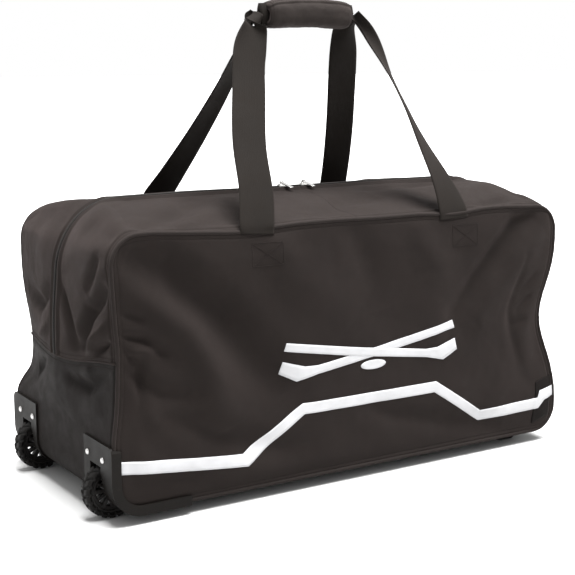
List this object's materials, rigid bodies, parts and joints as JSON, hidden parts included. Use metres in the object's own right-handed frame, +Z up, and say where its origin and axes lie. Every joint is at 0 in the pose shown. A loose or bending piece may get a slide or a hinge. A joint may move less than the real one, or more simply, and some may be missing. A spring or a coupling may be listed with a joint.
{
  "type": "wheeled equipment bag",
  "caption": "Soft rectangular sports equipment bag on corner wheels, with webbing carry straps joined by a padded grip, a long zip over the top and a tow loop.",
  "frame": {"origin": "on the floor below the middle of the bounding box", "axes": "+X along the bag from the wheels to the tow end, +Z up, -Y the front face"},
  "size_m": [0.8869, 0.382, 0.747],
  "materials": {
    "bag_fabric": "heavy woven polyester, matt with a faint sheen",
    "base_fabric": "coated base cloth",
    "piping": "cloth-covered piping",
    "webbing": "ribbed polyester webbing",
    "grip": "padded cloth wrap with a bound edge",
    "zip_tape": "woven tape with a nylon coil",
    "board": "stiffening board",
    "moulding": "semi-matt moulded plastic",
    "tyre": "moulded rubber-like tread",
    "hub": "moulded spoked hub",
    "bush": "plain plastic bush",
    "steel": "plated steel",
    "slider_metal": "nickel-plated zinc",
    "print": "matt white transfer print on the cloth"
  },
  "bodies": {
    "shell": {"front_panel": "bag_fabric", "rear_panel": "bag_fabric", "wheel_end_upper_front": "bag_fabric", "wheel_end_upper_rear": "bag_fabric", "tow_end_upper_front": "bag_fabric", "tow_end_upper_rear": "bag_fabric", "wheel_end_lower": "base_fabric", "tow_end_lower": "base_fabric", "base_panel": "base_fabric", "front_piping": "piping", "rear_piping": "piping", "zip_tape_front_wheel_end": "zip_tape", "zip_tape_front_tow_end": "zip_tape", "zip_tape_rear_wheel_end": "zip_tape", "zip_tape_rear_tow_end": "zip_tape", "zip_stop_wheel_end": "webbing", "zip_stop_tow_end": "webbing", "strap_anchor_front_wheel_end": "webbing", "strap_anchor_front_tow_end": "webbing", "strap_anchor_rear_wheel_end": "webbing", "strap_anchor_rear_tow_end": "webbing", "strap_leg_front_wheel_end": "webbing", "strap_leg_front_tow_end": "webbing", "strap_leg_rear_wheel_end": "webbing", "strap_leg_rear_tow_end": "webbing", "base_board": "board", "wheel_housing_front": "moulding", "wheel_housing_rear": "moulding", "foot_front": "moulding", "foot_rear": "moulding", "tow_bracket": "moulding", "axle_front": "steel", "axle_rear": "steel", "axle_nut_front": "steel", "axle_nut_rear": "steel", "rivet_front_1": "steel", "rivet_front_2": "steel", "rivet_rear_1": "steel", "rivet_rear_2": "steel", "tow_bar": "steel"},
    "wheel_front": {"tyre_front": "tyre", "hub_front": "hub", "bush_front": "bush"},
    "wheel_rear": {"tyre_rear": "tyre", "hub_rear": "hub", "bush_rear": "bush"},
    "flap_front": {"top_flap_front": "bag_fabric", "zip_tape_front_top": "zip_tape"},
    "flap_rear": {"top_flap_rear": "bag_fabric", "zip_tape_rear_top": "zip_tape"},
    "slider_wheel_side": {"slider_wheel_side": "slider_metal"},
    "slider_tow_side": {"slider_tow_side": "slider_metal"},
    "pull_wheel_side": {"pull_wheel_side": "slider_metal"},
    "pull_tow_side": {"pull_tow_side": "slider_metal"},
    "carry_handle": {"grip_wrap": "grip", "grip_strap_front": "webbing", "grip_strap_rear": "webbing"},
    "tow_loop": {"tow_loop": "webbing"}
  },
  "joints": [
    {"name": "wheel_front_spin", "type": "hinge", "parent": "shell", "child": "wheel_front", "pos_m": [-0.4015, -0.134, 0.042], "axis": [0, 1, 0], "continuous": true},
    {"name": "wheel_rear_spin", "type": "hinge", "parent": "shell", "child": "wheel_rear", "pos_m": [-0.4015, 0.134, 0.042], "axis": [0, 1, 0], "continuous": true},
    {"name": "flap_front_fold", "type": "hinge", "parent": "shell", "child": "flap_front", "pos_m": [0, -0.1812, 0.41575], "axis": [-1, 0, 0], "range_deg": [0, 70]},
    {"name": "flap_rear_fold", "type": "hinge", "parent": "shell", "child": "flap_rear", "pos_m": [0, 0.1812, 0.41575], "axis": [1, 0, 0], "range_deg": [0, 70]},
    {"name": "slider_wheel_side_slide", "type": "slide", "parent": "shell", "child": "slider_wheel_side", "axis": [-1, 0, 0], "range_m": [0, 0.302]},
    {"name": "slider_tow_side_slide", "type": "slide", "parent": "shell", "child": "slider_tow_side", "axis": [1, 0, 0], "range_m": [0, 0.308]},
    {"name": "pull_wheel_side_swing", "type": "hinge", "parent": "slider_wheel_side", "child": "pull_wheel_side", "pos_m": [-0.024, 0, 0.4557], "axis": [-1, 0, 0], "range_deg": [0, 195]},
    {"name": "pull_tow_side_swing", "type": "hinge", "parent": "slider_tow_side", "child": "pull_tow_side", "pos_m": [0.018, 0, 0.4557], "axis": [-1, 0, 0], "range_deg": [0, 195]},
    {"name": "handle_drop", "type": "slide", "parent": "shell", "child": "carry_handle", "axis": [0, 0, -1], "range_m": [0, 0.232], "deforming": ["strap_leg_front_wheel_end", "strap_leg_front_tow_end", "strap_leg_rear_wheel_end", "strap_leg_rear_tow_end"]},
    {"name": "tow_loop_swing", "type": "hinge", "parent": "shell", "child": "tow_loop", "pos_m": [0.4332, 0, 0.192], "axis": [0, -1, 0], "range_deg": [0, 150]}
  ],
  "couplings": [
    {"joint": "flap_rear_fold", "follows": "flap_front_fold", "ratio": 1},
    {"joint": "slider_wheel_side_slide", "follows": "flap_front_fold", "m_per_rad": 0.2471},
    {"joint": "slider_tow_side_slide", "follows": "flap_front_fold", "m_per_rad": 0.252}
  ]
}
